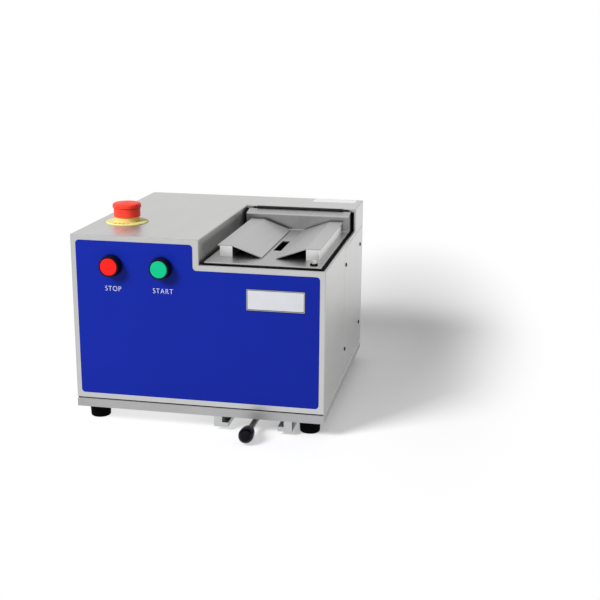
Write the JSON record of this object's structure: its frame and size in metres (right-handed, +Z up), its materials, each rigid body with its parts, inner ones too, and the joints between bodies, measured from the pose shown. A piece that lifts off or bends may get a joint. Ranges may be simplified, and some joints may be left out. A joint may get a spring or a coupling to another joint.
{
  "type": "can rim cutting machine",
  "caption": "Bench-top saw that slots the rim seam of a can laid in the cradle on its hinged lid; twin blades swing up through the lid.",
  "frame": {"origin": "on the bench, under the middle of the machine's overall box with the tray closed", "axes": "+X to the operator's right, +Y from the front to the back, +Z up"},
  "size_m": [0.35, 0.4112, 0.2959],
  "materials": {
    "casing_steel": "ground stainless sheet",
    "label_film": "satin blue printed film",
    "base_alloy": "milled, clear anodised",
    "seal_rubber": "matte black",
    "plain_steel": "machined bright",
    "lid_steel": "brushed stainless sheet",
    "hinge_black": "black oxide",
    "cradle_alloy": "milled",
    "cradle_steel": "brushed stainless sheet",
    "switch_black": "satin black",
    "button_red": "satin red",
    "button_green": "satin green",
    "estop_yellow": "satin yellow",
    "device_grey": "fine grain grey",
    "knob_black": "polished black",
    "arm_paint": "grey primed",
    "bush_bronze": "turned bronze",
    "blade_steel": "ground tool steel",
    "motor_paint": "satin dark grey"
  },
  "bodies": {
    "machine": {"base_plate": "base_alloy", "base_seal": "seal_rubber", "rubber_feet": "seal_rubber", "machine_screws": "plain_steel", "casing": "casing_steel", "front_label": "label_film", "lid_seal": "seal_rubber", "side_cover": "casing_steel", "rear_panel": "casing_steel", "power_inlet": "switch_black", "stop_bezel": "switch_black", "start_bezel": "switch_black", "switch_contacts": "device_grey", "estop_disc": "estop_yellow", "estop_collar": "estop_yellow", "hinge_fixed_leaf": "hinge_black", "lid_catch": "plain_steel", "tray_rail_left": "base_alloy", "tray_rail_right": "base_alloy", "chip_chute": "lid_steel", "pivot_bracket_left": "arm_paint", "pivot_bracket_right": "arm_paint", "pivot_shaft": "plain_steel", "feed_bracket": "arm_paint", "feed_gearmotor": "motor_paint", "din_rail": "plain_steel", "contactor": "device_grey", "power_supply": "device_grey", "terminal_block": "device_grey"},
    "lid": {"lid": "lid_steel", "hinge_lid_leaf": "hinge_black", "cradle_bar_left": "cradle_alloy", "cradle_bar_right": "cradle_alloy", "cradle_plate_left": "cradle_steel", "cradle_plate_right": "cradle_steel", "thumb_washer": "seal_rubber"},
    "thumb_screw": {"thumb_screw": "plain_steel"},
    "stop_button": {"stop_button": "button_red"},
    "start_button": {"start_button": "button_green"},
    "estop_plunger": {"estop_plunger": "switch_black"},
    "estop_mushroom": {"estop_mushroom": "button_red"},
    "tray": {"chip_tray": "lid_steel", "tray_rod": "plain_steel", "tray_knob": "knob_black"},
    "saw_arm": {"saw_arm": "arm_paint", "pivot_bush": "bush_bronze", "spindle_housing": "base_alloy", "spindle_bearings": "plain_steel", "saw_motor": "motor_paint", "drive_belt": "seal_rubber", "feed_sector": "plain_steel"},
    "arbor": {"arbor": "plain_steel", "arbor_pulley": "base_alloy", "blade_flanges": "plain_steel", "saw_blades": "blade_steel", "arbor_nut": "plain_steel"},
    "motor_rotor": {"motor_shaft": "plain_steel", "motor_pulley": "base_alloy"},
    "feed_pinion": {"feed_pinion": "plain_steel"}
  },
  "joints": [
    {"name": "lid_hinge", "type": "hinge", "parent": "machine", "child": "lid", "pos_m": [0.0882, 0.11785, 0.2634], "axis": [-1, 0, 0], "range_deg": [0, 80]},
    {"name": "thumb_screw_turn", "type": "hinge", "parent": "lid", "child": "thumb_screw", "pos_m": [0.1552, -0.13235, 0.2346], "axis": [0, 0, 1], "continuous": true},
    {"name": "stop_press", "type": "slide", "parent": "machine", "child": "stop_button", "axis": [0, 1, 0], "range_m": [0, 0.0035], "stiffness_N_per_m": 400},
    {"name": "start_press", "type": "slide", "parent": "machine", "child": "start_button", "axis": [0, 1, 0], "range_m": [0, 0.0035], "stiffness_N_per_m": 400},
    {"name": "estop_press", "type": "slide", "parent": "machine", "child": "estop_plunger", "axis": [0, 0, -1], "range_m": [0, 0.004]},
    {"name": "estop_twist", "type": "hinge", "parent": "estop_plunger", "child": "estop_mushroom", "pos_m": [-0.129, -0.05555, 0.28], "axis": [0, 0, -1], "range_deg": [0, 40], "stiffness_Nm_per_rad": 0.05},
    {"name": "tray_slide", "type": "slide", "parent": "machine", "child": "tray", "axis": [0, -1, 0], "range_m": [0, 0.19]},
    {"name": "saw_arm_swing", "type": "hinge", "parent": "machine", "child": "saw_arm", "pos_m": [0.033, 0.06445, 0.0863], "axis": [-1, 0, 0], "range_deg": [0, 12]},
    {"name": "feed_turn", "type": "hinge", "parent": "machine", "child": "feed_pinion", "pos_m": [0, -0.01955, 0.0863], "axis": [-1, 0, 0], "range_deg": [-80, 5]},
    {"name": "arbor_spin", "type": "hinge", "parent": "saw_arm", "child": "arbor", "pos_m": [0.06, -0.04355, 0.1723], "axis": [1, 0, 0], "continuous": true},
    {"name": "motor_spin", "type": "hinge", "parent": "saw_arm", "child": "motor_rotor", "pos_m": [0.02, 0.14045, 0.1043], "axis": [1, 0, 0], "continuous": true}
  ],
  "couplings": [
    {"joint": "feed_turn", "follows": "saw_arm_swing", "ratio": -6},
    {"joint": "motor_spin", "follows": "arbor_spin", "ratio": 0.75}
  ]
}
